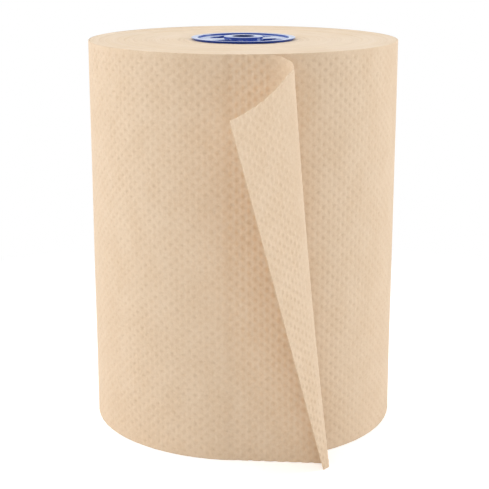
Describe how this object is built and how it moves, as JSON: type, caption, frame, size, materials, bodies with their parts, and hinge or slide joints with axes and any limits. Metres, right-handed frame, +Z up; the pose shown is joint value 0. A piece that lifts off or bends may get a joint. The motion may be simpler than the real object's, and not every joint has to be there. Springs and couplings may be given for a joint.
{
  "type": "paper towel roll",
  "caption": "Upright roll of embossed kraft paper towel with its loose end folded back, a cardboard core and a spoked plug in the core's upper end.",
  "frame": {"origin": "on the roll's axis at its lower end face, which is the face it stands on", "axes": "+Z up along the core's axis, -Y towards the folded loose end, +X to the right when the loose end faces the viewer"},
  "size_m": [0.1515, 0.2072, 0.192],
  "materials": {
    "towel": "soft unbleached embossed towel",
    "core_board": "spirally wound grey-brown board",
    "plug_plastic": "glossy moulded blue plastic"
  },
  "bodies": {
    "root": {"towel_roll": "towel", "core_tube": "core_board", "core_plug": "plug_plastic"}
  },
  "joints": []
}
